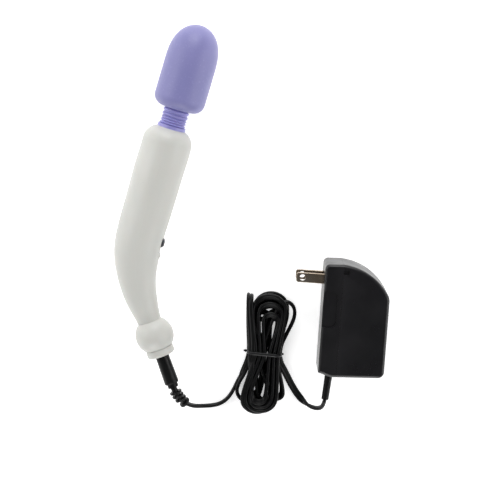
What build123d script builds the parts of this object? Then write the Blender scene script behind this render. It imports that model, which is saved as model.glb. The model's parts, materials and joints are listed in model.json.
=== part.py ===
from build123d import *
import math
import os

# Handheld wand massager with its corded wall adapter, lying on a table. Millimetres.
# The wand lies on its side with its barrel along Y, its head towards +Y and its bend in the
# table's plane, so the bend, the cord and the adapter are all seen from above.
# The origin is on the table, under the middle of the wand's own box.

# --- where things are -------------------------------------------------------------------
head_radius = 16.2
axis_height = head_radius            # height of the wand's axis above the table
neck_x = -12.69                      # the origin of the wand's own frame, in the upper neck
neck_y = 50.355

# --- head and neck ----------------------------------------------------------------------
head_base = 1.5                      # the head's lower and upper ends, from that origin
head_top = 55.6
head_corner = 7.0                    # radius of the head's lower corner
head_straight_end = 30.0             # end of the head's cylindrical part
dome_fullness = 2.6                  # 2 is an ellipse, and more is fuller
cover_wall = 2.2
capsule_wall = 1.6
neck_bottom = -9.0
neck_root_radius = 6.6
neck_rib_radius = 8.2
neck_rib_count = 5
neck_flange_radius = 8.9
neck_flange_end = -11.2

# --- handle -----------------------------------------------------------------------------
shell_wall = 2.0
shoulder_end = -20.0
barrel_radius = 15.7
bend_start = -78.5
bend_radius = 77.0
bend_angle = 36.0
waist_distance = 11.5                # from the bend's end to the waist, down the tail
waist_radius = 7.6
ball_distance = 20.9
ball_radius = 12.2
collar_start = 29.8
collar_end = 34.6
collar_radius = 9.0

# --- switch -----------------------------------------------------------------------------
switch_y = -82.2
switch_travel = 4.0
slider_length = 5.2
slider_width = 7.0
pocket_floor = 13.9                  # distance of the pocket's floor from the barrel's axis

# --- motor and drive --------------------------------------------------------------------
can_radius = 12.2
can_start = -62.0
can_end = -31.0
motor_shaft_radius = 1.0
eccentric_shaft_radius = 1.95
bush_clearance = 0.05

# --- power plug -------------------------------------------------------------------------
plug_start = 34.9
plug_end = 54.0
plug_neck_end = 56.7
plug_radius = 4.6
plug_barrel_radius = 2.75
plug_barrel_length = 9.5
relief_reach = (9.8, -7.9, -3.0)     # from the relief's start to its end

# --- cord -------------------------------------------------------------------------------
cord_width = 4.6                     # flat twin cord: its width is the tube's diameter
lead_in_points = [
    (49.9, -129.6, 9.0),
    (56.8, -128.7, 4.6),
    (64.8, -126.3, 2.5),
    (69.5, -122.7, 2.4),
    (72.3, -117.7, 2.4),
    (73.7, -111.5, 2.4),
    (74.5, -105.2, 2.8),
    (76.2, -97.8, 4.5),
]
lead_out_points = [
    (95.8, -85.2, 6.6),
    (101.9, -91.5, 4.6),
    (108.5, -98.9, 3.2),
    (115.8, -105.2, 3.6),
    (122.9, -108.6, 5.4),
    (129.0, -107.9, 8.8),
    (131.4, -103.9, 13.2),
]
hank_center = (84.7, -83.1)
hank_angle = 10.2                    # the hank's long side, turned from +Y
hank_height = 14.6
# outline of the hank, side distance and distance along it, from the tie
hank_outline = [
    (-10.4, 0.0),
    (-13.0, 16.0),
    (-15.2, 33.0),
    (-6.0, 38.6),
    (8.0, 37.2),
    (17.0, 28.0),
    (13.2, 13.0),
    (11.4, 0.0),
    (14.0, -13.0),
    (16.6, -25.5),
    (9.6, -35.2),
    (0.4, -39.2),
    (-9.0, -35.6),
    (-13.8, -27.0),
    (-12.2, -12.0),
]

# --- adapter ----------------------------------------------------------------------------
adapter_corner = (120.25, -83.1)     # front lower corner, on the table
adapter_angle = 13.0
adapter_width = 33.0                 # lies along Z
adapter_height = 72.2
adapter_depth = 41.7
adapter_seam = 11.6
adapter_wall = 2.2
blade_center = 61.2
blade_length = 17.5
blade_height = 6.35
blade_thickness = 1.5
blade_spacing = 12.7
blade_hole = 3.96
rear_foot = 1.3                      # the rear lower corner is this much higher than the front
relief_exit = 8.2                    # depth at which the cord leaves the adapter

wand_place = Location((neck_x, neck_y, axis_height))
turn = math.radians(bend_angle)
bend_end = (
    bend_radius * (1 - math.cos(turn)),
    bend_start - bend_radius * math.sin(turn),
)
tail_place = wand_place * Location((*bend_end, 0), (0, 0, bend_angle - 180))
hank_place = Location((*hank_center, 0), (0, 0, hank_angle))
adapter_place = Location((*adapter_corner, 0), (0, 0, adapter_angle))
relief_lean = Location((relief_exit, 4.1, adapter_width / 2), (0, 0, 180 - 4.4))


# --- helpers ----------------------------------------------------------------------------
def turned(*edges):
    """A solid of revolution about the Y axis from a closed outline of edges."""
    return revolve(make_face(Wire(edges)), Axis.Y)


def flat_rectangle(low, high):
    """A rectangle in the XY plane between two corners."""
    center = ((low[0] + high[0]) / 2, (low[1] + high[1]) / 2)
    return Pos(*center) * Rectangle(high[0] - low[0], high[1] - low[1])


def turned_corners(*corners):
    """A solid of revolution about the Y axis from an outline's corners (radius, y)."""
    return revolve(make_face(Polyline(*corners, close=True)), Axis.Y)


def tube(outer, inner, start, end):
    """A plain ring or tube about the Y axis, between two places along it."""
    return turned_corners((inner, start), (outer, start), (outer, end), (inner, end))


def rod(radius, start, end):
    """A plain round bar on the Y axis."""
    return turned_corners((0, start), (radius, start), (radius, end), (0, end))


def block(low, high):
    """A box between two corners."""
    size = [high[i] - low[i] for i in range(3)]
    center = [(high[i] + low[i]) / 2 for i in range(3)]
    return Pos(*center) * Box(*size)


def halves(solid):
    """The upper and lower half of a solid, cut at the plane z = 0."""
    upper = split(solid, bisect_by=Plane.XY, keep=Keep.TOP)
    lower = split(solid, bisect_by=Plane.XY, keep=Keep.BOTTOM)
    return upper, lower


def upright(radius, x, y, low, high):
    """A round bar along Z."""
    return Pos(x, y, (low + high) / 2) * Cylinder(radius, high - low)


# --- head -------------------------------------------------------------------------------
def dome_points(radius, rise):
    """Points of the head's full round dome, from its side to its top."""
    points = []
    for step in range(9):
        angle = step / 8 * math.pi / 2
        height = rise * math.sin(angle) ** (2 / dome_fullness)
        points.append((radius * math.cos(angle), head_straight_end + height))
    return points


def head_outline(inset):
    """Half of the head's outer outline, drawn in by an inset."""
    base = head_base + inset
    radius = head_radius - inset
    corner = head_corner - inset
    top = head_top - inset
    start = (radius - corner, base)
    middle = (radius - corner * (1 - math.sin(math.pi / 4)), base + corner * (1 - math.cos(math.pi / 4)))
    side = (radius, base + corner)
    dome = dome_points(radius, top - head_straight_end)
    edges = [
        Line((0, base), start),
        ThreePointArc(start, middle, side),
        Line(side, dome[0]),
        Spline(*dome, tangents=((0, 1), (-1, 0))),
        Line((0, top), (0, base)),
    ]
    return make_face(Wire(edges))


def head_form(inset):
    """The head's outer form, drawn in by an inset."""
    return revolve(head_outline(inset), Axis.Y)


def head_cover():
    """The soft cover, with a round mouth for the neck."""
    return head_form(0) - head_form(cover_wall) - rod(neck_flange_radius, 0, head_base + cover_wall + 1)


def head_capsule():
    """The two halves of the hard capsule under the cover, with a seat for each bush."""
    outline = head_outline(cover_wall + 0.1)
    section = outline - head_outline(cover_wall + 0.1 + capsule_wall)
    for start in (7.5, 41.0):
        section += flat_rectangle((5.0, start), (13.5, start + 4.0)) & outline
    section -= flat_rectangle((0, 0), (5.0, 44.5))
    section -= flat_rectangle((0, 0), (7.1, head_base + 4.5))
    half = revolve(section, Axis.Y, 180)
    return Rot(0, 180, 0) * half, half


def head_base_ring():
    low = head_base + 0.2
    return turned_corners(
        (5.0, low),
        (8.8, low),
        (8.8, low + 2.0),
        (7.0, low + 2.0),
        (7.0, low + 3.0),
        (5.0, low + 3.0),
    )


def bush(start):
    """A sintered bush for the eccentric shaft."""
    bore = eccentric_shaft_radius + bush_clearance
    return tube(4.9, bore, start, start + 4.0)


def eccentric_shaft():
    return chamfer(rod(eccentric_shaft_radius, 4.5, 45.4).edges(), 0.3)


def eccentric_weight():
    """A half-round steel weight on the shaft, between the bushes."""
    weight = rod(10.5, 13.0, 39.5) & block((-11, 12, -11), (11, 41, 1.2))
    hub = rod(4.0, 12.2, 40.3)
    return weight + hub - rod(eccentric_shaft_radius, 10, 42)


# --- neck -------------------------------------------------------------------------------
def neck_sleeve():
    """The ribbed sleeve: round ribs with grooves between them."""
    pitch = (head_base - neck_bottom) / (neck_rib_count + 0.5)
    y = head_base - 0.35
    edges = [Line((5.4, y), (neck_root_radius, y))]
    point = (neck_root_radius, y)
    for rib in range(neck_rib_count):
        top = y - rib * pitch - 0.25 * pitch
        groove_end = (neck_root_radius, top)
        rib_start = (neck_rib_radius - 0.5, top - 0.05 * pitch)
        rib_crest = (neck_rib_radius, top - 0.42 * pitch)
        rib_end = (neck_rib_radius - 0.5, top - 0.79 * pitch)
        next_groove = (neck_root_radius, top - 0.84 * pitch)
        edges += [
            Line(point, groove_end),
            Line(groove_end, rib_start),
            ThreePointArc(rib_start, rib_crest, rib_end),
            Line(rib_end, next_groove),
        ]
        point = next_groove
    last = (neck_root_radius, neck_bottom)
    edges += [Line(point, last), Line(last, (5.4, neck_bottom)), Line((5.4, neck_bottom), (5.4, y))]
    return turned(*edges)


def neck_lower_ring():
    """The clamp ring that holds the sleeve in the handle's mouth."""
    return turned_corners(
        (5.4, -9.2),
        (neck_flange_radius, -9.2),
        (neck_flange_radius, neck_flange_end),
        (7.3, neck_flange_end),
        (7.3, -16.0),
        (5.4, -16.0),
    )


def support_spring():
    """The spring that carries the head and lets the neck bend."""
    path = Helix(pitch=2.9, height=11.6, radius=4.45, center=(0, -10.9, 0), direction=(0, 1, 0))
    section = Plane(path @ 0, z_dir=path % 0) * Circle(0.45)
    return sweep(section, path=path, is_frenet=True)


def drive_tube():
    """The flexible tube that turns the eccentric shaft, clamped on it and on the coupler."""
    return turned_corners(
        (eccentric_shaft_radius, 2.9),
        (eccentric_shaft_radius, 7.0),
        (3.1, 7.0),
        (3.1, 2.4),
        (2.5, 1.6),
        (2.5, -16.4),
        (3.4, -17.2),
        (3.4, -23.0),
        (2.4, -23.0),
        (2.4, -17.6),
        (1.3, -17.0),
        (1.3, 2.2),
    )


# --- handle -----------------------------------------------------------------------------
def grip_sections(inset):
    """Round sections of the barrel and the bend: plane and radius, from head to waist."""
    sections = []
    barrel = ((shoulder_end, 15.6), (-34.0, barrel_radius), (-52.0, 15.55), (-68.0, 15.3), (bend_start, 15.12))
    for y, radius in barrel:
        sections.append(((0, y), (0, -1), radius - inset))
    for fraction, radius in ((0.3, 14.5), (0.52, 13.0), (0.76, 11.15), (1.0, 9.35)):
        angle = fraction * turn
        center = (bend_radius * (1 - math.cos(angle)), bend_start - bend_radius * math.sin(angle))
        sections.append((center, (math.sin(angle), -math.cos(angle)), radius - inset))
    for distance, radius in ((6.5, 8.15), (waist_distance, waist_radius)):
        center = tail_point(distance)
        sections.append((center, (math.sin(turn), -math.cos(turn)), radius - inset))
    return sections


def tail_point(distance):
    """A point on the tail's axis, in the wand's own frame."""
    return (bend_end[0] + distance * math.sin(turn), bend_end[1] - distance * math.cos(turn))


def grip_form(inset):
    """The barrel and the bend as one smooth loft."""
    faces = []
    for center, direction, radius in grip_sections(inset):
        plane = Plane(origin=(*center, 0), x_dir=(0, 0, 1), z_dir=(*direction, 0))
        faces.append(plane * Circle(radius))
    return loft(faces)


def shoulder_form(inset):
    """The rounded shoulder between the neck's flange and the barrel."""
    top = neck_flange_end - inset
    start = (9.0 - 0.4 * inset, top)
    middle = (13.45 - 0.75 * inset, -14.3 - 0.6 * inset)
    end = (15.6 - inset, shoulder_end)
    return turned(
        Line((0, top), start),
        ThreePointArc(start, middle, end),
        Line(end, (0, shoulder_end)),
        Line((0, shoulder_end), (0, top)),
    )


def ball_form(radius, end):
    """The ball at the tail, in the tail's own frame, cut off flat at its end."""
    ball = Pos(0, ball_distance, 0) * Sphere(radius)
    return ball & block((-20, 0, -20), (20, end, 20))


def handle_shells():
    """The two handle shells, with the switch pocket, the screw bosses and the stop bump."""
    to_tail = Location((*bend_end, 0), (0, 0, bend_angle - 180))
    outer = shoulder_form(0) + grip_form(0) + to_tail * ball_form(ball_radius, collar_start)
    inner = shoulder_form(shell_wall) + grip_form(shell_wall)
    inner += to_tail * ball_form(ball_radius - shell_wall, collar_start - 2.0)
    bump = Pos(15.15, -91.0, 0) * scale(Sphere(1), (1.1, 1.5, 3.6))
    shell = outer + bump - inner
    shell += block((11.0, -91.0, -6.0), (14.0, -77.0, 6.0)) & outer
    for x, y in screw_places():
        shell += upright(2.7, x, y, -30, 30) & outer
    shell -= rod(7.35, -17, -10)
    shell -= to_tail * rod(5.7, 15, 40)
    pocket_end = switch_y - slider_length / 2 - switch_travel - 0.5
    pocket_start = switch_y + slider_length / 2 + 0.5
    half_pocket = slider_width / 2 + 0.4
    shell -= block((pocket_floor, pocket_end, -half_pocket), (18, pocket_start, half_pocket))
    shell -= block((8, switch_y - 1.3 - switch_travel, -1.6), (15, switch_y + 1.3, 1.6))
    upper, lower = halves(shell)
    for x, y in screw_places():
        upper -= upright(0.95, x, y, -1, 6.4)
        lower -= upright(1.25, x, y, -30, 1)
        lower -= upright(2.1, x, y, -30, -5.0)
    return upper, lower


def screw_places():
    """Where the shell screws stand, in the wand's frame."""
    return ((-9.4, -24.6), (9.4, -24.6), (4.6, -104.5))


def shell_screws():
    """Self-tapping screws with pan heads, standing in the lower shell."""
    group = []
    for x, y in screw_places():
        head = upright(2.0, x, y, -6.6, -5.05)
        slot = block((x - 1.5, y - 0.2, -7.0), (x + 1.5, y + 0.2, -6.1))
        cross = block((x - 0.2, y - 1.5, -7.0), (x + 0.2, y + 1.5, -6.1))
        shank = upright(0.9, x, y, -5.05, 6.0)
        group.append(head + shank - slot - cross)
    return Compound(children=group)


def end_collar():
    """The collar that closes the ball's end round the socket, with a soft lower edge."""
    lip = 1.8
    start = (collar_radius, collar_end - lip)
    middle = (collar_radius - 0.3 * lip, collar_end - 0.3 * lip)
    end = (collar_radius - lip, collar_end)
    return turned(
        Line((5.75, collar_start), (collar_radius - 0.25, collar_start)),
        Line((collar_radius - 0.25, collar_start), start),
        ThreePointArc(start, middle, end),
        Line(end, (5.75, collar_end)),
        Line((5.75, collar_end), (5.75, collar_start)),
    )


# --- switch -----------------------------------------------------------------------------
def switch_slider():
    """The ridged thumb button, standing proud of the handle."""
    low = switch_y - slider_length / 2
    high = switch_y + slider_length / 2
    base = pocket_floor + 0.3
    side = slider_width / 2
    cap = block((base, low, -side), (16.0, high, side))
    cap = fillet(cap.edges().filter_by(Axis.Z).group_by(Axis.X)[-1], 0.9)
    cap = fillet(cap.edges().group_by(Axis.X)[-1].filter_by(Axis.Y), 0.4)
    for step in range(4):
        y = low + 1.0 + step * 1.0
        cap += block((15.9, y - 0.22, -side + 0.7), (16.4, y + 0.22, side - 0.7))
    stem = block((12.2, switch_y - 1.0, -1.2), (base, switch_y + 1.0, 1.2))
    return cap + stem


def switch_body():
    """The slide switch behind the pocket, a metal-clad box with three pins."""
    low = switch_y - switch_travel - 3.0
    high = switch_y + 3.0
    box = block((5.6, low, -3.6), (10.8, high, 3.6))
    box -= block((9.0, switch_y - switch_travel - 1.4, -1.4), (11.0, switch_y + 1.4, 1.4))
    for step in range(3):
        y = low + 2.0 + step * 3.0
        box += block((3.6, y - 0.3, -0.6), (5.6, y + 0.3, 0.6))
    return box


def switch_actuator():
    """The switch's own lever, which the button carries along."""
    return block((9.3, switch_y - 1.1, -1.1), (12.2, switch_y + 1.1, 1.1))


def control_board():
    board = block((2.0, -96.0, -6.0), (3.6, -70.0, 6.0))
    return board - Pos(2.8, -73.0, 3.8) * Rot(0, 90, 0) * Cylinder(0.9, 4)


def board_components():
    """A power resistor and a diode on the board."""
    resistor = Pos(5.6, -92.6, 0) * Rot(90, 0, 0) * Cylinder(1.7, 5.6)
    resistor += block((3.6, -95.0, -0.3), (5.6, -94.6, 0.3))
    diode = Pos(5.2, -73.6, -3.0) * Rot(90, 0, 0) * Cylinder(1.3, 4.6)
    diode += block((3.6, -75.7, -3.3), (5.2, -75.3, -2.7))
    return Compound(children=[resistor, diode])


# --- motor ------------------------------------------------------------------------------
def motor_can():
    can = rod(can_radius, can_start + 2.5, can_end) - rod(can_radius - 0.9, can_start, can_end - 1.0)
    can += tube(3.2, motor_shaft_radius + bush_clearance, can_end - 1.0, can_end + 1.6)
    can -= rod(motor_shaft_radius + bush_clearance, can_end - 3, can_end + 3)
    return can


def motor_end_cap():
    """The plastic cap with the rear bearing and the two solder tags."""
    cap = rod(can_radius - 0.1, can_start, can_start + 2.4) + rod(3.0, can_start - 1.6, can_start)
    cap -= rod(motor_shaft_radius + bush_clearance, can_start - 3, can_start + 4)
    for side in (-1, 1):
        cap += block((side * 7.0 - 1.2, can_start - 3.0, -0.25), (side * 7.0 + 1.2, can_start, 0.25))
    return cap


def motor_magnets():
    """Two curved magnets inside the can."""
    ring = tube(can_radius - 1.0, 8.6, -57.0, -34.0)
    sides = [block((low, -60, -15), (high, -30, 15)) for low, high in ((-15, -3.0), (3.0, 15))]
    return Compound(children=[ring & side for side in sides])


def armature():
    """The wound core: three wide teeth, windings and the commutator."""
    core = rod(4.2, -55.0, -36.0)
    for step in range(3):
        tooth = block((-1.8, -53.0, 3.0), (1.8, -38.0, 7.6))
        cap = (tube(8.2, 7.0, -53.0, -38.0)) & block((-4.6, -53.0, 4.0), (4.6, -38.0, 9.0))
        core += Rot(0, 120 * step, 0) * (tooth + cap)
    core += rod(2.6, -58.5, -55.0)
    return core - rod(motor_shaft_radius, -60, -30)


def motor_shaft():
    return rod(motor_shaft_radius, can_start - 1.4, -16.0)


def drive_coupler():
    return tube(2.4, motor_shaft_radius, -27.5, -17.7) + tube(4.2, motor_shaft_radius, -27.5, -24.0)


def motor_mount(start):
    """A rubber ring between the motor and the shells, with grip notches."""
    ring = tube(13.35, can_radius + 0.02, start, start + 4.0)
    for step in range(12):
        notch = block((12.9, start - 1, -0.8), (14.0, start + 5, 0.8))
        ring -= Rot(0, 30 * step, 0) * notch
    return ring


# --- power socket -----------------------------------------------------------------------
def jack_housing():
    body = rod(5.6, 20.0, collar_end - 0.6) - rod(plug_barrel_radius + bush_clearance, 23.5, 40)
    body -= rod(1.05, 18, 25)
    flange = tube(5.7, 4.9, collar_end - 0.6, collar_end - 0.1)
    return body + flange - block((-0.9, 19, 2.6), (0.9, 30, 4.6))


def jack_pin():
    return rod(1.05, 19.0, 32.6)


def jack_contact():
    """The spring leaf beside the barrel."""
    return block((-0.7, 18.0, 3.1), (0.7, 29.6, 3.5))


# --- wires ------------------------------------------------------------------------------
def wire_pair(points, gap):
    """Two thin insulated wires side by side."""
    pair = []
    for side in (-gap / 2, gap / 2):
        route = [(x, y, z + side) for x, y, z in points]
        pair.append(round_tube(route, 0.75))
    return Compound(children=pair)


def motor_wires():
    return wire_pair([(-7.0, -65.2, 0), (-7.4, -71.0, 0), (-4.0, -76.5, 0), (1.1, -80.0, 0)], 3.0)


def socket_wires():
    start = tail_point(8.0)
    end = tail_point(17.2)
    points = [(1.1, -92.0, 0), (-1.6, -98.0, 0), (-1.2, -106.0, 0), (3.6, -114.6, 0)]
    return wire_pair(points + [(*start, 0), (*end, 0)], 4.4)


# --- cord paths -------------------------------------------------------------------------
def corner_radii(points):
    """The largest arc that each corner's two runs allow."""
    radii = []
    for before, here, after in zip(points, points[1:], points[2:]):
        run_in = Vector(*here) - Vector(*before)
        run_out = Vector(*after) - Vector(*here)
        half_turn = math.radians(run_in.get_angle(run_out)) / 2
        radii.append(0.45 * min(run_in.length, run_out.length) / math.tan(half_turn))
    return radii


def round_tube(points, radius, name=None):
    """A round tube of straight runs and tangent arcs through a route."""
    radii = corner_radii(points)
    path = FilletPolyline(*points, radius=radii)
    solid = sweep(Plane(path @ 0, z_dir=path % 0) * Circle(radius), path=path)
    if name:
        expected = math.pi * radius**2 * path.length
        print(name, "arc radii", [round(r, 1) for r in radii])
        print(name, "length", round(path.length, 1), "volume ratio", round(solid.volume / expected, 4))
    return solid


# --- plug -------------------------------------------------------------------------------
def plug_body():
    """The moulded plug body with its stepped neck."""
    return turned_corners(
        (0, plug_start),
        (4.1, plug_start),
        (4.3, plug_start + 0.3),
        (plug_radius, plug_end - 0.6),
        (plug_radius - 0.3, plug_end),
        (3.4, plug_end),
        (3.4, plug_neck_end),
        (0, plug_neck_end),
    )


def plug_barrel():
    return tube(plug_barrel_radius, 2.2, plug_start - plug_barrel_length, plug_start)


def plug_insulator():
    return tube(2.2, 1.25, plug_start - plug_barrel_length + 0.6, plug_start)


def relief_path():
    """The arc that the plug's strain relief follows, in the wand's frame."""
    start = Vector(*tail_point(plug_neck_end), 0)
    end = start + Vector(*relief_reach)
    return TangentArc(start, end, tangent=(math.sin(turn), -math.cos(turn), 0))


def plug_relief():
    """The bent strain relief: a core with half ribs that alternate, and an end disc."""
    path = relief_path()
    relief = sweep(Plane(path @ 0, z_dir=path % 0) * Circle(1.9), path=path)
    side_of_bend = Vector(0, 0, 1)
    for step in range(6):
        place = Plane(path @ (0.14 + 0.13 * step), x_dir=side_of_bend, z_dir=path % (0.14 + 0.13 * step))
        rib = Cylinder(3.5, 1.0) & Pos(0, 4.0 if step % 2 else -4.0, 0) * Box(8, 8, 2)
        relief += place * rib
    last = Plane(path @ 1, x_dir=side_of_bend, z_dir=path % 1)
    return relief + last * Pos(0, 0, -0.9) * Cylinder(3.4, 1.8)


# --- hank -------------------------------------------------------------------------------
def hank():
    """The wound hank as one closed form, with a groove for its tie."""
    outline = make_face(Spline(*hank_outline, periodic=True))
    body = extrude(outline, hank_height)
    edges = body.edges().group_by(Axis.Z)
    body = fillet(edges[0] + edges[-1], 3.2)
    ring = block((-20, -1.3, -1), (20, 1.3, 20)) - block((-9.1, -2, 2.1), (10.1, 2, hank_height - 2.1))
    return body - ring


def twist_tie():
    """The tie's band round the hank and its twisted end."""
    band = block((-10.9, -0.85, 0.3), (11.9, 0.85, hank_height - 0.3))
    band = fillet(band.edges().filter_by(Axis.Y), 2.5)
    band -= block((-9.2, -2, 2.0), (10.2, 2, hank_height - 2.0))
    tip = Pos(-12.2, 0.3, 9.0) * Rot(0, 90, 0) * Cylinder(1.1, 4.0)
    return band + tip


# --- adapter ----------------------------------------------------------------------------
def adapter_side(inset):
    """The side outline of the whole adapter, drawn in by an inset."""
    top = adapter_height - inset
    rear = adapter_depth - inset
    low = inset
    front = inset
    corner = 4.0
    bend = corner * (1 - math.sin(math.pi / 4))
    foot = rear_foot + inset
    edges = [
        Line((front, 2.6 + low), (front, top - 3.4)),
        ThreePointArc((front, top - 3.4), (front + 0.8, top - 1.2), (front + 3.0, top - 0.3)),
        Line((front + 3.0, top - 0.3), (adapter_seam, top)),
        ThreePointArc((adapter_seam, top), (27.6 - 0.5 * inset, 67.2 - 0.85 * inset), (rear - 1.2, 54.6)),
        ThreePointArc((rear - 1.2, 54.6), (rear - 0.3, 52.5), (rear, 50.2)),
        Line((rear, 50.2), (rear, foot + corner)),
        ThreePointArc((rear, foot + corner), (rear - bend, foot + bend), (rear - corner, foot)),
        Line((rear - corner, foot), (front + 8.0, low)),
        Line((front + 8.0, low), (front, 2.6 + low)),
    ]
    return make_face(Wire(edges))


def adapter_form(inset):
    """The adapter's whole form between its two sides."""
    body = extrude(adapter_side(inset), adapter_width - 2 * inset)
    body = Pos(0, 0, inset) * body
    if inset:
        return body
    rim = body.edges().group_by(Axis.Z)
    return fillet(rim[0] + rim[-1], 2.0)


def adapter_front_cover():
    """The cover with the blades, with a shallow thumb grip on each side."""
    front = block((-5, -5, -5), (adapter_seam - 0.1, 90, 60))
    cover = (adapter_form(0) & front) - adapter_form(adapter_wall)
    for z in (0.4, adapter_width - 0.4):
        grip = Pos(4.2, 43.4, z) * Box(9.4, 23.0, 0.85)
        grip = fillet(grip.edges().filter_by(Axis.Z).sort_by(Axis.X)[-2:], 4.0)
        cover -= grip
    for z in blade_levels():
        cover -= block((-1, blade_center - 3.3, z - 0.85), (5, blade_center + 3.3, z + 0.85))
    exit_hole = Pos(relief_exit, 1.0, adapter_width / 2) * Rot(90, 0, 0) * Cylinder(2.95, 8)
    return cover - exit_hole


def adapter_rear_case():
    """The deep case behind the seam, with bosses for its screws."""
    rear = block((adapter_seam, -5, -5), (90, 90, 60))
    case = (adapter_form(0) & rear) - adapter_form(adapter_wall)
    whole = adapter_form(0.5)
    for y, z in adapter_screw_places():
        boss = Pos(26, y, z) * Rot(0, 90, 0) * Cylinder(2.8, 28.8)
        case += boss & whole
        case -= Pos(10, y, z) * Rot(0, 90, 0) * Cylinder(1.0, 26)
    notch_low = (adapter_seam - 1, adapter_height - 6.0, adapter_width - 1.2)
    notch = block(notch_low, (15.2, adapter_height - 3.4, 60))
    return case - notch


def adapter_screw_places():
    """The screws of the adapter's case: height and width."""
    return ((8.0, 6.5), (8.0, adapter_width - 6.5))


def adapter_screws():
    group = []
    for y, z in adapter_screw_places():
        head = Pos(9.6, y, z) * Rot(0, 90, 0) * Cylinder(2.2, 1.6)
        shank = Pos(15.2, y, z) * Rot(0, 90, 0) * Cylinder(0.98, 9.6)
        group.append(head + shank)
    return Compound(children=group)


def blade_levels():
    """The heights of the two blades above the table."""
    middle = adapter_width / 2
    return (middle - blade_spacing / 2, middle + blade_spacing / 2)


def adapter_blades():
    """Two flat pins with rounded ends and a hole in each."""
    group = []
    for z in blade_levels():
        pin = block(
            (-blade_length, blade_center - blade_height / 2, z - blade_thickness / 2),
            (6.0, blade_center + blade_height / 2, z + blade_thickness / 2),
        )
        pin = fillet(pin.edges().filter_by(Axis.Z).sort_by(Axis.X)[:2], 1.6)
        pin = chamfer(pin.faces().sort_by(Axis.X)[0].edges().filter_by(Axis.Y), 0.35)
        pin -= Pos(-blade_length + 4.0, blade_center, z) * Cylinder(blade_hole / 2, 4)
        group.append(pin)
    return Compound(children=group)


def transformer_core():
    """The laminated core: an outer frame and a middle leg."""
    core = block((16.0, 14.0, 4.5), (34.0, 47.0, adapter_width - 4.5))
    for low, high in ((19.0, 27.5), (33.5, 42.0)):
        core -= block((10.0, low, 8.5), (40.0, high, adapter_width - 8.5))
    return core


def transformer_coil():
    """The winding round the middle leg."""
    coil = block((13.4, 19.6, 9.1), (36.6, 41.4, adapter_width - 9.1))
    coil = fillet(coil.edges().filter_by(Axis.Z), 2.4)
    leg = block((15.8, 27.3, 4.0), (34.2, 33.7, adapter_width - 4.0))
    return coil - leg


def rectifier_board():
    return block((14.0, 49.5, 6.0), (28.0, 51.1, adapter_width - 6.0))


def smoothing_capacitor():
    can = Pos(20.0, 55.8, adapter_width / 2) * Rot(90, 0, 0) * Cylinder(4.0, 9.0)
    return fillet(can.edges(), 0.5)


def adapter_relief():
    """The tapered strain relief under the adapter, leaning a little towards the front."""
    sleeve = turned_corners((0, -1.6), (3.4, -1.6), (3.4, 0), (2.5, 0), (2.45, 5), (2.3, 21.8), (0, 21.8))
    return relief_lean * sleeve


def relief_tip():
    """Where the cord leaves the adapter's strain relief, on the table's frame."""
    return (adapter_place * relief_lean * Pos(0, 21.8, 0)).position


def cord_lead_in():
    """The run from the plug's strain relief to the hank."""
    start = (wand_place * Pos(*(relief_path() @ 1))).position
    return round_tube([tuple(start)] + lead_in_points, cord_width / 2, "lead in")


def cord_lead_out():
    """The run from the hank to the adapter's strain relief."""
    return round_tube(lead_out_points + [tuple(relief_tip())], cord_width / 2, "lead out")


# --- all pieces -------------------------------------------------------------------------
capsule_upper, capsule_lower = head_capsule()
shell_upper, shell_lower = handle_shells()

wand_pieces = {
    "head_cover": head_cover(),
    "head_capsule_upper": capsule_upper,
    "head_capsule_lower": capsule_lower,
    "head_base_ring": head_base_ring(),
    "head_bush_lower": bush(7.5),
    "head_bush_upper": bush(41.0),
    "eccentric_shaft": eccentric_shaft(),
    "eccentric_weight": eccentric_weight(),
    "neck_sleeve": neck_sleeve(),
    "neck_lower_ring": neck_lower_ring(),
    "neck_support_spring": support_spring(),
    "flexible_drive_tube": drive_tube(),
    "handle_shell_upper": shell_upper,
    "handle_shell_lower": shell_lower,
    "handle_screws": shell_screws(),
    "switch_slider": switch_slider(),
    "switch_actuator": switch_actuator(),
    "slide_switch_body": switch_body(),
    "control_board": control_board(),
    "board_components": board_components(),
    "motor_can": motor_can(),
    "motor_end_cap": motor_end_cap(),
    "motor_magnets": motor_magnets(),
    "motor_armature": armature(),
    "motor_shaft": motor_shaft(),
    "drive_coupler": drive_coupler(),
    "motor_mount_front": motor_mount(-36.5),
    "motor_mount_rear": motor_mount(-58.5),
    "motor_wires": motor_wires(),
    "socket_wires": socket_wires(),
    "plug_strain_relief": plug_relief(),
}
tail_pieces = {
    "end_collar": end_collar(),
    "jack_housing": jack_housing(),
    "jack_pin": jack_pin(),
    "jack_contact": jack_contact(),
    "plug_body": plug_body(),
    "plug_barrel": plug_barrel(),
    "plug_insulator": plug_insulator(),
}
hank_pieces = {
    "cord_hank": hank(),
    "twist_tie": twist_tie(),
}
adapter_pieces = {
    "adapter_front_cover": adapter_front_cover(),
    "adapter_rear_case": adapter_rear_case(),
    "adapter_screws": adapter_screws(),
    "adapter_blades": adapter_blades(),
    "transformer_core": transformer_core(),
    "transformer_coil": transformer_coil(),
    "rectifier_board": rectifier_board(),
    "smoothing_capacitor": smoothing_capacitor(),
    "adapter_strain_relief": adapter_relief(),
}
table_pieces = {
    "cord_lead_in": cord_lead_in(),
    "cord_lead_out": cord_lead_out(),
}
groups = (
    (wand_place, wand_pieces),
    (tail_place, tail_pieces),
    (hank_place, hank_pieces),
    (adapter_place, adapter_pieces),
    (Location(), table_pieces),
)

os.makedirs("parts", exist_ok=True)
for place, pieces in groups:
    for name, piece in pieces.items():
        export_step(piece.moved(place), f"parts/{name}.step")
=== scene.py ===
import json
import math

import bmesh
import bpy
from mathutils import Matrix, Vector


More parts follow.
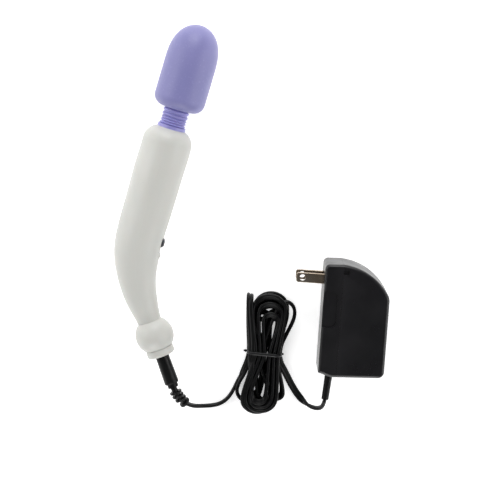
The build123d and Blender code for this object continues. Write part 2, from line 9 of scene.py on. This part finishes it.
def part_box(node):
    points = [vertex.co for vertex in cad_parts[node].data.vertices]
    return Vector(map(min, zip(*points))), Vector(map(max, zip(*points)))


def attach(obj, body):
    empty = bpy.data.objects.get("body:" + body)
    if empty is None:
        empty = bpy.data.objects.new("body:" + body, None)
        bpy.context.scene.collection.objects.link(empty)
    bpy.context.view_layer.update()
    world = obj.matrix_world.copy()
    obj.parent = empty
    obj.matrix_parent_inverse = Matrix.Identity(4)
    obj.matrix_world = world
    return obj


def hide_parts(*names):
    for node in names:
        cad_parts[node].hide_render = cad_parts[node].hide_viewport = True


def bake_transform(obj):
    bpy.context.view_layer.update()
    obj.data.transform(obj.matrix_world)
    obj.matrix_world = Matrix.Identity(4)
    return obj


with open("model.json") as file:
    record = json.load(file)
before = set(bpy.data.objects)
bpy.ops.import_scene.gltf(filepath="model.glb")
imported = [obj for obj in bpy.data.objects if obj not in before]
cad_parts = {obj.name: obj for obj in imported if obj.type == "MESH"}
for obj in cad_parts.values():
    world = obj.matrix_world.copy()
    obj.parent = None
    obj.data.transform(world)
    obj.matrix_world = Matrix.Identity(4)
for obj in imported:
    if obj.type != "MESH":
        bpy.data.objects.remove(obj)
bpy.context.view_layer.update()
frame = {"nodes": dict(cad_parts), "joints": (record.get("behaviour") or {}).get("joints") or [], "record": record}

MM = 0.001


# --- places taken from the frame ---------------------------------------------------------
def joint(name):
    """One of the record's joints."""
    return next(j for j in frame["joints"] if j["name"] == name)


head_low, head_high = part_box("head_cover")
axis_x = (head_low[0] + head_high[0]) / 2
axis_z = (head_low[2] + head_high[2]) / 2
neck_y = head_low[1]
tail_direction = Vector(joint("unplug")["axis"])
hank_angle = math.radians(10.2)
hank_center = Vector((84.7, -83.1, 0)) * MM


# --- camera and floor --------------------------------------------------------------------
def make_camera():
    """A long lens above the table, tilted a little towards the head and rolled with the wand."""
    roll = math.radians(16.75)
    tilt = math.radians(8.0)
    frame_width = 316.7 * MM
    target = Vector((56.8, -20.3, 16.2)) * MM
    right = Vector((math.cos(roll), math.sin(roll), 0))
    table_up = Vector((-math.sin(roll), math.cos(roll), 0))
    up = table_up * math.cos(tilt) - Vector((0, 0, math.sin(tilt)))
    back = right.cross(up)
    data = bpy.data.cameras.new("camera")
    data.lens = 120
    data.clip_start = 0.05
    data.clip_end = 20
    camera = bpy.data.objects.new("camera", data)
    bpy.context.scene.collection.objects.link(camera)
    distance = frame_width * data.lens / data.sensor_width
    turned = Matrix((right, up, back)).transposed().to_4x4()
    camera.matrix_world = Matrix.Translation(target + back * distance) @ turned
    bpy.context.scene.camera = camera


make_camera()


# --- mesh helpers ------------------------------------------------------------------------
def mesh_object(name, points, faces):
    """A mesh object from its points and faces, with smooth shading."""
    mesh = bpy.data.meshes.new(name)
    mesh.from_pydata([tuple(p) for p in points], [], faces)
    mesh.validate()
    mesh.polygons.foreach_set("use_smooth", [True] * len(mesh.polygons))
    piece = bpy.data.objects.new(name, mesh)
    bpy.context.scene.collection.objects.link(piece)
    return piece


def tidy_normals(piece):
    """Turns all faces outwards."""
    work = bmesh.new()
    work.from_mesh(piece.data)
    bmesh.ops.remove_doubles(work, verts=work.verts, dist=1e-7)
    bmesh.ops.recalc_face_normals(work, faces=work.faces)
    work.to_mesh(piece.data)
    work.free()


def ring_mesh(name, rings, closed_ends=True):
    """A skin over rings of points that all have the same count."""
    count = len(rings[0])
    points = [p for ring in rings for p in ring]
    faces = []
    for i in range(len(rings) - 1):
        for k in range(count):
            after = (k + 1) % count
            low, high = i * count, (i + 1) * count
            faces.append((low + k, low + after, high + after, high + k))
    if closed_ends:
        faces.append(tuple(reversed(range(count))))
        last = (len(rings) - 1) * count
        faces.append(tuple(last + k for k in range(count)))
    piece = mesh_object(name, points, faces)
    tidy_normals(piece)
    return piece


def turned_mesh(name, profile, origin, direction, steps=96):
    """A solid of revolution: profile of (radius, distance along) about a line, in metres."""
    direction = Vector(direction).normalized()
    side = direction.cross(Vector((0, 0, 1))).normalized()
    third = direction.cross(side)
    rings = []
    for radius, along in profile:
        center = Vector(origin) + direction * along
        ring = []
        for k in range(steps):
            angle = 2 * math.pi * k / steps
            ring.append(center + (side * math.cos(angle) + third * math.sin(angle)) * radius)
        rings.append(ring)
    return ring_mesh(name, rings)


# --- material helpers --------------------------------------------------------------------
def srgb(red, green, blue):
    """A colour given in 0-255 screen values, as linear light."""
    channels = []
    for value in (red, green, blue):
        value = value / 255
        channels.append(value / 12.92 if value <= 0.04045 else ((value + 0.055) / 1.055) ** 2.4)
    return (*channels, 1.0)


class Finish:
    """A procedural material: a colour with drift, uneven roughness and fine bump."""

    def __init__(self, name, color, roughness, metallic=0.0):
        self.material = bpy.data.materials.new(name)
        self.material.use_nodes = True
        self.nodes = self.material.node_tree.nodes
        self.links = self.material.node_tree.links
        self.shader = self.nodes["Principled BSDF"]
        self.shader.inputs["Metallic"].default_value = metallic
        self.place = self.nodes.new("ShaderNodeTexCoord").outputs["Object"]
        self.color = color
        self.roughness = roughness
        self.height = None

    def set(self, **values):
        """Sets plain values on the shader's own sockets."""
        for name, value in values.items():
            self.shader.inputs[name.replace("_", " ")].default_value = value
        return self

    def noise(self, scale, detail=3.0, stretch=None):
        """A noise texture on the object's own coordinates."""
        source = self.place
        if stretch:
            mapping = self.nodes.new("ShaderNodeMapping")
            mapping.inputs["Scale"].default_value = stretch
            self.links.new(source, mapping.inputs["Vector"])
            source = mapping.outputs["Vector"]
        node = self.nodes.new("ShaderNodeTexNoise")
        node.inputs["Scale"].default_value = scale
        node.inputs["Detail"].default_value = detail
        self.links.new(source, node.inputs["Vector"])
        return node.outputs["Fac"]

    def ramp(self, factor, low, high, start=0.3, end=0.7):
        """Maps a factor to a value between two limits."""
        node = self.nodes.new("ShaderNodeMapRange")
        node.inputs["From Min"].default_value = start
        node.inputs["From Max"].default_value = end
        node.inputs["To Min"].default_value = low
        node.inputs["To Max"].default_value = high
        self.links.new(factor, node.inputs["Value"])
        return node.outputs["Result"]

    def mix(self, factor, first, second):
        """Mixes two colours, each a fixed colour or another node's output."""
        node = self.nodes.new("ShaderNodeMix")
        node.data_type = "RGBA"
        self.links.new(factor, node.inputs["Factor"])
        for socket, value in ((node.inputs[6], first), (node.inputs[7], second)):
            if isinstance(value, tuple):
                socket.default_value = value
            else:
                self.links.new(value, socket)
        return node.outputs[2]

    def drift(self, other, scale=20.0, start=0.35, end=0.65):
        """Lets the colour drift towards another one in soft patches."""
        factor = self.ramp(self.noise(scale, 4.0), 0.0, 1.0, start, end)
        self.color = self.mix(factor, self.color, other)
        return self

    def speckle(self, other, scale, start, end):
        """Adds small specks of another colour, such as dust or filler."""
        factor = self.ramp(self.noise(scale, 2.0), 0.0, 1.0, start, end)
        self.color = self.mix(factor, self.color, other)
        return self

    def edge_wear_and_highlight(self, other, start=0.56, end=0.64):
        """Lightens convex edges: a painted rim highlight on the black case, wear on the switch."""
        point = self.nodes.new("ShaderNodeNewGeometry").outputs["Pointiness"]
        self.color = self.mix(self.ramp(point, 0.0, 1.0, start, end), self.color, other)
        return self

    def uneven(self, low, high, scale=60.0, stretch=None):
        """Makes the roughness vary in patches."""
        self.roughness = self.ramp(self.noise(scale, 4.0, stretch), low, high)
        return self

    def grain(self, scale, distance, strength=1.0, detail=3.0, stretch=None):
        """Adds a fine surface relief; the distance is its depth in metres."""
        node = self.nodes.new("ShaderNodeBump")
        node.inputs["Strength"].default_value = strength
        node.inputs["Distance"].default_value = distance
        self.links.new(self.noise(scale, detail, stretch), node.inputs["Height"])
        if self.height:
            self.links.new(self.height, node.inputs["Normal"])
        self.height = node.outputs["Normal"]
        return self

    def done(self):
        """Connects everything and returns the material."""
        for value, socket in ((self.color, "Base Color"), (self.roughness, "Roughness")):
            if isinstance(value, (tuple, float)):
                self.shader.inputs[socket].default_value = value
            else:
                self.links.new(value, self.shader.inputs[socket])
        if self.height:
            self.links.new(self.height, self.shader.inputs["Normal"])
        return self.material


def paint(piece, material):
    """Gives a piece one material."""
    piece.data.materials.clear()
    piece.data.materials.append(material)


def paint_node(name, material):
    """Gives a CAD node a better material, in the slots that it has."""
    node = frame["nodes"][name]
    for slot in node.material_slots:
        slot.material = material
    node.data.polygons.foreach_set("use_smooth", [True] * len(node.data.polygons))


# --- materials ---------------------------------------------------------------------------
def lavender_soft_touch():
    finish = Finish("lavender_soft_touch", srgb(123, 121, 170), 0.46)
    finish.drift(srgb(118, 117, 165), 25).speckle(srgb(129, 127, 175), 900, 0.6, 0.75)
    finish.uneven(0.4, 0.5, 90)
    finish.grain(2600, 0.00003, 0.5).grain(300, 0.00004, 0.25)
    return finish.set(Sheen_Weight=0.12, Sheen_Roughness=0.5, Specular_IOR_Level=0.42).done()


def neck_lavender():
    finish = Finish("neck_lavender", srgb(146, 142, 204), 0.34)
    finish.drift(srgb(140, 136, 198), 60).uneven(0.3, 0.4, 150).grain(1800, 0.00003, 0.4)
    return finish.set(Subsurface_Weight=0.05, Subsurface_Scale=0.002).done()


def white_plastic():
    finish = Finish("white_plastic", srgb(191, 191, 186), 0.42)
    finish.drift(srgb(186, 186, 181), 18).speckle(srgb(178, 178, 173), 1500, 0.68, 0.8)
    finish.uneven(0.38, 0.5, 70).grain(1500, 0.00002, 0.35).grain(120, 0.00006, 0.12)
    return finish.set(Subsurface_Weight=0.04, Subsurface_Scale=0.003).done()


def black_case():
    finish = Finish("black_case", srgb(12, 11, 14), 0.32)
    # the lighter convex edges on this case are a painted rim highlight on the fillets
    finish.drift(srgb(9, 9, 12), 30).edge_wear_and_highlight(srgb(34, 33, 36), 0.56, 0.7)
    finish.uneven(0.27, 0.37, 80).grain(1400, 0.00006, 0.55).grain(420, 0.00003, 0.3)
    return finish.set(Specular_IOR_Level=0.42).done()


def black_moulded_pvc():
    finish = Finish("black_moulded_pvc", srgb(8, 8, 9), 0.4)
    finish.drift(srgb(11, 11, 12), 80).uneven(0.3, 0.42, 200).grain(1600, 0.00004, 0.45)
    return finish.set(Specular_IOR_Level=0.2).done()


def black_cord():
    finish = Finish("black_cord", srgb(4, 4, 5), 0.34)
    finish.drift(srgb(7, 7, 8), 120).uneven(0.28, 0.4, 260)
    finish.grain(900, 0.00001, 0.25).grain(160, 0.00003, 0.15)
    return finish.set(Specular_IOR_Level=0.18).done()


def tie_black():
    finish = Finish("tie_black", srgb(9, 9, 10), 0.42)
    finish.drift(srgb(19, 19, 21), 300).uneven(0.28, 0.42, 500).grain(2500, 0.00005, 0.5)
    return finish.set(Specular_IOR_Level=0.22).done()


def switch_plastic():
    finish = Finish("switch_plastic", srgb(62, 62, 66), 0.45)
    finish.drift(srgb(52, 52, 56), 200).uneven(0.4, 0.55, 300).grain(2200, 0.00004, 0.5)
    return finish.edge_wear_and_highlight(srgb(96, 96, 100)).done()


def nickel():
    finish = Finish("nickel", srgb(172, 162, 148), 0.2, 1.0)
    finish.drift(srgb(146, 130, 112), 60).uneven(0.14, 0.3, 220, (1, 1, 8))
    return finish.grain(700, 0.00002, 0.4, 4.0, (1, 12, 1)).done()


def metal(name, color, other, roughness):
    finish = Finish(name, color, roughness, 1.0)
    finish.drift(other, 90).uneven(roughness * 0.8, roughness * 1.3, 260, (1, 6, 1))
    return finish.grain(1200, 0.00003, 0.5, 3.0, (1, 10, 1)).done()


def inner_plastic(name, color, other):
    finish = Finish(name, color, 0.5)
    return finish.drift(other, 70).uneven(0.42, 0.6, 160).grain(1400, 0.00004, 0.5).done()


MATERIALS = {
    "lavender_soft_touch": lavender_soft_touch(),
    "neck_lavender": neck_lavender(),
    "white_plastic": white_plastic(),
    "black_case": black_case(),
    "black_moulded_pvc": black_moulded_pvc(),
    "black_cord": black_cord(),
    "tie_black": tie_black(),
    "switch_plastic": switch_plastic(),
    "nickel": nickel(),
    "steel": metal("steel", srgb(190, 191, 194), srgb(168, 169, 172), 0.28),
    "core_steel": metal("core_steel", srgb(92, 92, 98), srgb(74, 72, 76), 0.45),
    "brass_parts": metal("brass_parts", srgb(206, 176, 106), srgb(180, 148, 84), 0.3),
    "copper_winding": metal("copper_winding", srgb(190, 104, 62), srgb(160, 84, 50), 0.32),
    "board_green": inner_plastic("board_green", srgb(46, 104, 62), srgb(38, 88, 54)),
    "inner_plastic": inner_plastic("inner_plastic", srgb(150, 150, 152), srgb(136, 136, 140)),
    "mount_rubber": inner_plastic("mount_rubber", srgb(34, 34, 36), srgb(26, 26, 28)),
    "wire_red": inner_plastic("wire_red", srgb(158, 40, 36), srgb(140, 34, 32)),
}
for part in frame["record"]["subparts"]:
    paint_node(part["node"], MATERIALS[part["material_slot"]])


# --- cord --------------------------------------------------------------------------------
CORD_WIDTH = 4.6 * MM
CORD_THICKNESS = 2.3 * MM
relief_end = Vector((45.4, -127.6, 13.2)) * MM
adapter_relief_end = Vector((130.5, -98.3, 16.5)) * MM
lead_in_points = [
    (49.9, -129.6, 9.0),
    (56.8, -128.7, 4.6),
    (64.8, -126.3, 2.5),
    (69.5, -122.7, 2.4),
    (72.3, -117.7, 2.4),
    (73.7, -111.5, 2.4),
    (74.5, -105.2, 2.8),
    (76.2, -97.8, 4.5),
]
lead_out_points = [
    (95.8, -85.2, 6.6),
    (101.9, -91.5, 4.6),
    (108.5, -98.9, 3.2),
    (115.8, -105.2, 3.6),
    (122.9, -108.6, 5.4),
    (129.0, -107.9, 8.8),
    (131.4, -103.9, 13.2),
]


def from_hank(side, along, height):
    """A point of the hank's own frame, in millimetres, as a point of the row frame."""
    across = Vector((math.cos(hank_angle), math.sin(hank_angle), 0))
    lengthwise = Vector((-math.sin(hank_angle), math.cos(hank_angle), 0))
    lift = 1.3 * math.exp(-((along / 14.0) ** 2))
    return hank_center + (across * side + lengthwise * along + Vector((0, 0, height + lift))) * MM


def wide_direction(side, along):
    """The cord stands on edge at the tie and leans outwards over the ends of its turns."""
    lean = min(1.0, max(0.0, (abs(along) - 14.0) / 10.0))
    outward = from_hank(side, along - math.copysign(15.0, along), 0) - from_hank(0, 0, 0)
    outward.z = 0.0
    return Vector((0, 0, 1)) + outward.normalized() * 1.2 * lean


def end_arc(center, half_width, apex, sign):
    """Four points round one end of a turn, from its left to its right side."""
    corner = half_width * 0.414
    reach = half_width * 0.586
    return [
        (center - half_width, sign * (apex - reach)),
        (center - corner, sign * apex),
        (center + corner, sign * apex),
        (center + half_width, sign * (apex - reach)),
    ]


def hank_turns():
    """The turns in winding order: sides at the tie, both ends and the height of each.

    Each turn is (left, right, (top centre, half width, apex), (bottom ...), height).
    Turns are nested in three layers, and every turn differs a little from the next.
    """
    turns = []
    for layer, (height, shift, rings) in enumerate(((2.4, -3.2, 4), (7.0, 3.2, 4), (11.8, 0.3, 3))):
        for step in range(rings):
            ring = rings - 1 - step if layer == 1 else step
            wave = math.sin(1.7 * layer + 2.3 * ring + 0.6)
            other = math.cos(2.9 * layer + 1.3 * ring)
            inner = shift * ring / 2
            narrow = 2.8 * min(ring, 2)
            left = -8.4 + 2.5 * ring + 0.3 * wave + (3.6 if layer == 2 else 0)
            right = 9.3 - 2.6 * ring + 0.3 * other
            top = (1.2 + 1.0 * wave + inner, 10.6 - narrow, 36.6 - 4.9 * ring + 1.3 * other)
            bottom = (0.4 + 1.0 * other + inner, 10.2 - narrow, 37.4 - 3.1 * ring + 0.9 * wave)
            if (layer, ring) == (1, 3):
                right = 9.0
                bottom = (11.0, 4.7, 28.6)
            turns.append((left, right, top, bottom, height))
    return turns


def turn_points(turn, next_turn):
    """The points of one turn: up its left side, over the top, down and round to the next."""
    left, right, top, bottom, height = turn
    next_left, next_height = next_turn[0], next_turn[4]
    points = [(left, -3.0, height), (left, 3.0, height)]
    arc = end_arc(*top, 1)
    points.append((left + 0.55 * (arc[0][0] - left), 0.42 * arc[0][1] + 3, height))
    points += [(side, along, height - 0.5) for side, along in arc]
    points.append((right + 0.55 * (arc[3][0] - right), 0.42 * arc[3][1] + 3, height))
    points += [(right, 3.0, height), (right, -3.0, height)]
    arc = list(reversed(end_arc(*bottom, -1)))
    points.append((right + 0.55 * (arc[0][0] - right), 0.42 * arc[0][1] - 3, height))
    for step, (side, along) in enumerate(arc):
        mixed = height + (next_height - height) * step / 3
        points.append((side, along, mixed - 0.5))
    points.append((next_left + 0.55 * (arc[3][0] - next_left), 0.42 * arc[3][1] - 3, next_height))
    return points


def hank_points():
    """All control points through the hank, with the direction of the cord's wide side."""
    upright = Vector((0, 0, 1))
    turns = hank_turns()
    # the turn that stands on edge at the left: up flat on top, over, and back beneath
    fold = [
        (-7.6, -3.0, 13.0), (-7.6, 3.0, 13.0), (-8.8, 12.0, 13.0), (-11.2, 24.0, 13.4), (-12.4, 31.5, 13.8),
        (-12.8, 36.0, 13.4), (-12.9, 37.4, 8.8), (-12.6, 36.0, 4.2), (-12.0, 27.0, 4.0), (-10.4, 14.0, 5.8),
        (-8.6, 3.0, 8.6), (-8.6, -3.0, 8.8), (-10.8, -12.0, 6.6), (-13.4, -21.0, 5.2), (-14.6, -28.0, 5.0),
        (-10.2, -33.6, 5.0), (-5.0, -29.0, 5.2), (-3.4, -16.0, 6.6),
    ]
    # the last turn leans out at the right, at the top and at the bottom
    last = [
        (-1.4, -3.0, 9.3), (-1.0, 3.0, 9.3), (0.6, 12.0, 9.3), (3.6, 24.0, 9.0), (6.4, 32.6, 8.6),
        (11.6, 35.8, 8.2), (16.6, 32.0, 8.0), (17.3, 25.0, 8.0), (14.0, 16.0, 8.2), (11.0, 8.0, 8.6),
        (10.6, 2.0, 8.4),
    ]
    points = []
    turns.append((fold[0][0], 0, (0, 0, 0), (0, 0, 0), 11.6))
    for turn, after in zip(turns, turns[1:]):
        points += [(p, wide_direction(p[0], p[1])) for p in turn_points(turn, after)]
    flat = Vector((1, 0, 0))
    for p in fold[:13]:
        points.append((p, flat))
    for p in fold[13:] + last:
        points.append((p, upright))
    return [(from_hank(*p), wide) for p, wide in points]


def cord_route():
    """Control points of the whole cord and the direction of its wide side at each."""
    upright = Vector((0, 0, 1))
    route = [(relief_end, upright)]
    route += [(Vector(p) * MM, upright) for p in lead_in_points]
    route += hank_points()
    sideways = Vector((0.75, 0.66, 0))
    for step, p in enumerate(lead_out_points):
        lies_flat = step < 4
        route.append((Vector(p) * MM, sideways if lies_flat else upright))
    route.append((adapter_relief_end, upright))
    return route


def spline_line(points, name):
    """The points along a smooth NURBS spline through control points."""
    curve = bpy.data.curves.new(name, "CURVE")
    curve.dimensions = "3D"
    spline = curve.splines.new("NURBS")
    spline.points.add(len(points) - 1)
    for target, point in zip(spline.points, points):
        target.co = (*point, 1.0)
    spline.order_u = 3
    spline.use_endpoint_u = True
    spline.resolution_u = 6
    holder = bpy.data.objects.new(name, curve)
    bpy.context.scene.collection.objects.link(holder)
    bpy.context.view_layer.update()
    mesh = bpy.data.meshes.new_from_object(holder)
    line = [v.co.copy() for v in mesh.vertices]
    bpy.data.objects.remove(holder)
    bpy.data.meshes.remove(mesh)
    return line


def twin_section(steps=9):
    """The outline of two cores side by side, as (wide, thick) shares of the cord's size."""
    radius = CORD_THICKNESS / 2
    offset = (CORD_WIDTH - CORD_THICKNESS) / 2
    opening = math.radians(28)
    outline = []
    for k in range(steps + 1):
        angle = math.pi - opening - (2 * math.pi - 2 * opening) * k / steps
        outline.append((offset + radius * math.cos(angle), radius * math.sin(angle)))
    for k in range(steps + 1):
        angle = -opening - (2 * math.pi - 2 * opening) * k / steps
        outline.append((-offset + radius * math.cos(angle), radius * math.sin(angle)))
    return outline


def make_cord():
    route = cord_route()
    line = spline_line([p for p, wide in route], "cord_line")
    wide_line = spline_line([p + wide.normalized() * MM for p, wide in route], "cord_wide_line")
    section = twin_section()
    rings = []
    for i, point in enumerate(line):
        before = line[max(i - 1, 0)]
        after = line[min(i + 1, len(line) - 1)]
        tangent = (after - before).normalized()
        wide = wide_line[i] - point
        wide = (wide - tangent * wide.dot(tangent)).normalized()
        thick = tangent.cross(wide)
        rings.append([point + wide * w + thick * t for w, t in section])
    cord = ring_mesh("power_cord", rings)
    paint(cord, MATERIALS["black_cord"])
    length = sum((b - a).length for a, b in zip(line, line[1:]))
    print("cord length", round(length, 4), "lowest", round(min(p.z for p in line) / MM, 2))
    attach(cord, "cord_set")
    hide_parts("cord_lead_in", "cord_hank", "cord_lead_out")
    return cord, line, length


cord, cord_line, cord_length = make_cord()


# --- floor and light ---------------------------------------------------------------------
FLOOR_RADIUS = 2.2
SWEEP_RADIUS = 0.7                   # the curve from the table top up to the backdrop
SWEEP_STEPS = 8
BACKDROP_EDGE = (2.95, 1.0)          # radius and height of the backdrop's upper edge
FLOOR_SIDES = 72


def make_floor():
    """A pale table top whose far edge curves up into a plain backdrop all round."""
    profile = [(FLOOR_RADIUS, 0.0)]
    for k in range(1, SWEEP_STEPS + 1):
        angle = k / SWEEP_STEPS * math.pi / 2
        out = FLOOR_RADIUS + SWEEP_RADIUS * math.sin(angle)
        profile.append((out, SWEEP_RADIUS - SWEEP_RADIUS * math.cos(angle)))
    profile.append(BACKDROP_EDGE)
    rings = []
    for radius, height in profile:
        turn = [2 * math.pi * k / FLOOR_SIDES for k in range(FLOOR_SIDES)]
        rings.append([Vector((radius * math.cos(t), radius * math.sin(t), height)) for t in turn])
    points = [p for ring in rings for p in ring]
    faces = [tuple(range(FLOOR_SIDES))]
    for i in range(len(rings) - 1):
        low = i * FLOOR_SIDES
        high = low + FLOOR_SIDES
        for k in range(FLOOR_SIDES):
            after = (k + 1) % FLOOR_SIDES
            faces.append((low + k, high + k, high + after, low + after))
    floor = mesh_object("floor", points, faces)
    finish = Finish("floor_white", srgb(250, 250, 250), 0.9)
    finish.drift(srgb(249, 249, 249), 3).grain(400, 0.00002, 0.2)
    finish.set(Emission_Color=(1, 1, 1, 1), Emission_Strength=0.5)
    paint(floor, finish.done())


def area_light(name, place, target, size, power):
    """A soft square white light that looks at a point."""
    data = bpy.data.lights.new(name, "AREA")
    data.size = size
    data.energy = power
    light = bpy.data.objects.new(name, data)
    bpy.context.scene.collection.objects.link(light)
    direction = Vector(target) - Vector(place)
    light.rotation_euler = direction.to_track_quat("-Z", "Y").to_euler()
    light.location = place


def make_light():
    world = bpy.data.worlds.new("studio")
    world.use_nodes = True
    background = world.node_tree.nodes["Background"]
    background.inputs["Color"].default_value = (1, 1, 1, 1)
    background.inputs["Strength"].default_value = 0.18
    bpy.context.scene.world = world
    middle = (0.05, -0.02, 0.0)
    area_light("key", (-0.3, 1.25, 0.8), middle, 1.0, 15.5)
    area_light("left", (-1.2, 0.1, 0.8), middle, 0.9, 8)
    area_light("right", (1.3, 0.2, 0.8), middle, 0.9, 8)
    area_light("front", (0.3, -1.3, 0.7), middle, 0.9, 10)
    bpy.context.scene.view_settings.view_transform = "Standard"
    bpy.context.scene.view_settings.look = "None"


make_floor()
make_light()


# --- neck --------------------------------------------------------------------------------
NECK_BORE = 5.3 * MM
NECK_ROOT = 7.45 * MM
NECK_CREST = 8.2 * MM
NECK_TOP_GAP = 0.1 * MM              # between the sleeve and the head's cover
# one rib: share of the pitch, and height as a share of the rib's depth
RIB_OUTLINE = (
    (0.14, 0.0), (0.19, 0.35), (0.26, 0.7), (0.36, 0.93), (0.5, 1.0),
    (0.64, 0.93), (0.74, 0.7), (0.81, 0.35), (0.86, 0.0),
)


def neck_profile(start, end, count):
    """Round ribs with tight grooves between two places on the neck, in metres."""
    pitch = (end - start) / count
    depth = NECK_CREST - NECK_ROOT
    profile = [(NECK_BORE, start), (NECK_ROOT, start)]
    for rib in range(count):
        base = start + rib * pitch
        for share, height in RIB_OUTLINE:
            profile.append((NECK_ROOT + depth * height, base + share * pitch))
    profile += [(NECK_ROOT, end), (NECK_BORE, end)]
    return profile


def make_neck():
    """The sleeve in two pieces that meet halfway between the neck's two joints."""
    low = joint("neck_bend")["pos_m"][1]
    high = joint("neck_nod")["pos_m"][1]
    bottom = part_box("neck_lower_ring")[1][1]
    middle = (low + high) / 2
    origin = (axis_x, 0, axis_z)
    along = (0, 1, 0)
    lower_profile = neck_profile(bottom, middle, 3)
    upper_profile = neck_profile(middle, neck_y - NECK_TOP_GAP, 2)
    lower = turned_mesh("neck_sleeve_lower", lower_profile, origin, along)
    upper = turned_mesh("neck_sleeve_upper", upper_profile, origin, along)
    for piece in (lower, upper):
        paint(piece, MATERIALS["neck_lavender"])
        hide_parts("neck_sleeve")
    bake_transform(lower)
    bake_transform(upper)


make_neck()


# --- twist tie ---------------------------------------------------------------------------
def rounded_loop(half_side, half_height, corner, steps):
    """Points and outward directions round a rectangle with rounded corners."""
    loop = []
    for quarter in range(4):
        sign_x = 1 if quarter in (0, 3) else -1
        sign_z = 1 if quarter in (0, 1) else -1
        for k in range(steps + 1):
            angle = (quarter + k / steps) * math.pi / 2
            out = (math.cos(angle), math.sin(angle))
            x = sign_x * (half_side - corner) + corner * out[0]
            z = sign_z * (half_height - corner) + corner * out[1]
            loop.append((x, z, out))
    return loop


def hank_direction(side, along, height):
    """A direction of the hank's own frame in the row frame."""
    start = Matrix.Rotation(hank_angle, 3, "Z")
    return start @ Vector((side, along, height))


def tie_along(side):
    """How far up the hank the tie lies, on each side."""
    return 0.8 + 0.017 * side


def tie_band():
    """The ribbon round the hank's waist, with the bulge of the wire inside it."""
    rings = []
    for side, height, out in rounded_loop(11.0, 8.0, 4.5, 10):
        normal = hank_direction(out[0], 0, out[1])
        across = hank_direction(0, 1, 0)
        along = tie_along(side) + 0.12 * math.sin(side * 1.3 + height)
        center = hank_center + (hank_direction(side + 0.6, along, 0) + Vector((0, 0, height + 8.5))) * MM
        ring = []
        for k in range(16):
            angle = 2 * math.pi * k / 16
            bulge = 0.3 + 0.25 * math.exp(-((math.cos(angle) * 2.6) ** 2))
            ring.append(center + (across * 1.05 * math.cos(angle) + normal * bulge * math.sin(angle)) * MM)
        rings.append(ring)
    rings.append(rings[0])
    return ring_mesh("twist_tie_band", rings, closed_ends=False)


def twisted_end(name, side, length, turns):
    """The ribbon's two ends, twisted together and cut to a point."""
    sign = 1 if side > 0 else -1
    rings = []
    steps = 28
    for i in range(steps + 1):
        share = i / steps
        angle = turns * 2 * math.pi * share
        taper = 1.0 if share < 0.75 else 1.0 - 0.75 * (share - 0.75) / 0.25
        along = tie_along(side) + 0.3 * share
        offset = hank_direction(side + sign * length * share, along, 0)
        center = hank_center + (offset + Vector((0, 0, 9.4 + share))) * MM
        wide = hank_direction(0, math.cos(angle), math.sin(angle))
        thin = hank_direction(0, -math.sin(angle), math.cos(angle))
        ring = []
        for k in range(14):
            turn = 2 * math.pi * k / 14
            ring.append(center + (wide * 1.0 * math.cos(turn) + thin * 0.62 * math.sin(turn)) * taper * MM)
        rings.append(ring)
    return ring_mesh(name, rings)


def make_tie():
    pieces = [
        tie_band(),
        twisted_end("twist_tie_end", -10.4, 2.6, 1.0),
        twisted_end("twist_tie_stub", 11.6, 1.4, 0.4),
    ]
    for piece in pieces:
        paint(piece, MATERIALS["tie_black"])
        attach(piece, "cord_set")
        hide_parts("twist_tie")
    return pieces


ties = make_tie()


# --- plug strain relief ------------------------------------------------------------------
RELIEF_START = Vector((35.34, -119.28, 16.2)) * MM
RELIEF_STEPS = 24
RELIEF_CORE_START = 2.05             # radius of the core at the plug, in millimetres
RELIEF_CORE_TAPER = 0.2              # how much thinner it is where the cord leaves
RELIEF_RIB_FOOT = 1.7                # radius of a rib where it doesn't stand out


def relief_point(share):
    """A point and direction on the relief's curved axis."""
    bend = RELIEF_START + tail_direction * 6.0 * MM
    first = RELIEF_START.lerp(bend, share)
    second = bend.lerp(relief_end, share)
    return first.lerp(second, share), (second - first).normalized()


def relief_section(share, side, radius, core):
    """A ring round the relief's axis that is wide on one side, or all round for side 0."""
    point, tangent = relief_point(share)
    up = Vector((0, 0, 1))
    right = tangent.cross(up).normalized() * -1
    up = right.cross(tangent).normalized()
    ring = []
    for k in range(40):
        angle = 2 * math.pi * k / 40
        reach = radius if side == 0 else core
        if side * math.cos(angle) > 0.25:
            reach = radius
        ring.append(point + (right * math.cos(angle) + up * math.sin(angle)) * reach * MM)
    return ring


def relief_plate(name, share, side, radius, half):
    """One rib, with its edges slightly rounded."""
    rings = []
    for place, cut in ((-1.0, 0.35), (-0.75, 0.08), (-0.4, 0.0), (0.4, 0.0), (0.75, 0.08), (1.0, 0.35)):
        rings.append(relief_section(share + half * place, side, radius - cut, RELIEF_RIB_FOOT))
    return ring_mesh(name, rings)


def relief_core():
    """The relief's body, which tapers slightly from the plug to the cord."""
    rings = []
    for i in range(RELIEF_STEPS + 1):
        radius = RELIEF_CORE_START - RELIEF_CORE_TAPER * i / RELIEF_STEPS
        rings.append(relief_section(i / RELIEF_STEPS, 0, radius, radius))
    return ring_mesh("relief_core", rings)


def make_plug_relief():
    pieces = [relief_core()]
    for step in range(3):
        reach = 4.0 - 0.1 * step
        pieces.append(relief_plate(f"relief_rib_right_{step}", 0.28 + 0.205 * step, -1, reach, 0.042))
        pieces.append(relief_plate(f"relief_rib_left_{step}", 0.33 + 0.21 * step, 1, reach, 0.042))
    pieces.append(relief_plate("relief_end", 0.98, 0, 3.7, 0.05))
    for piece in pieces:
        paint(piece, MATERIALS["black_moulded_pvc"])
        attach(piece, "cord_set")
        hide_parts("plug_strain_relief")
    return pieces


reliefs = make_plug_relief()
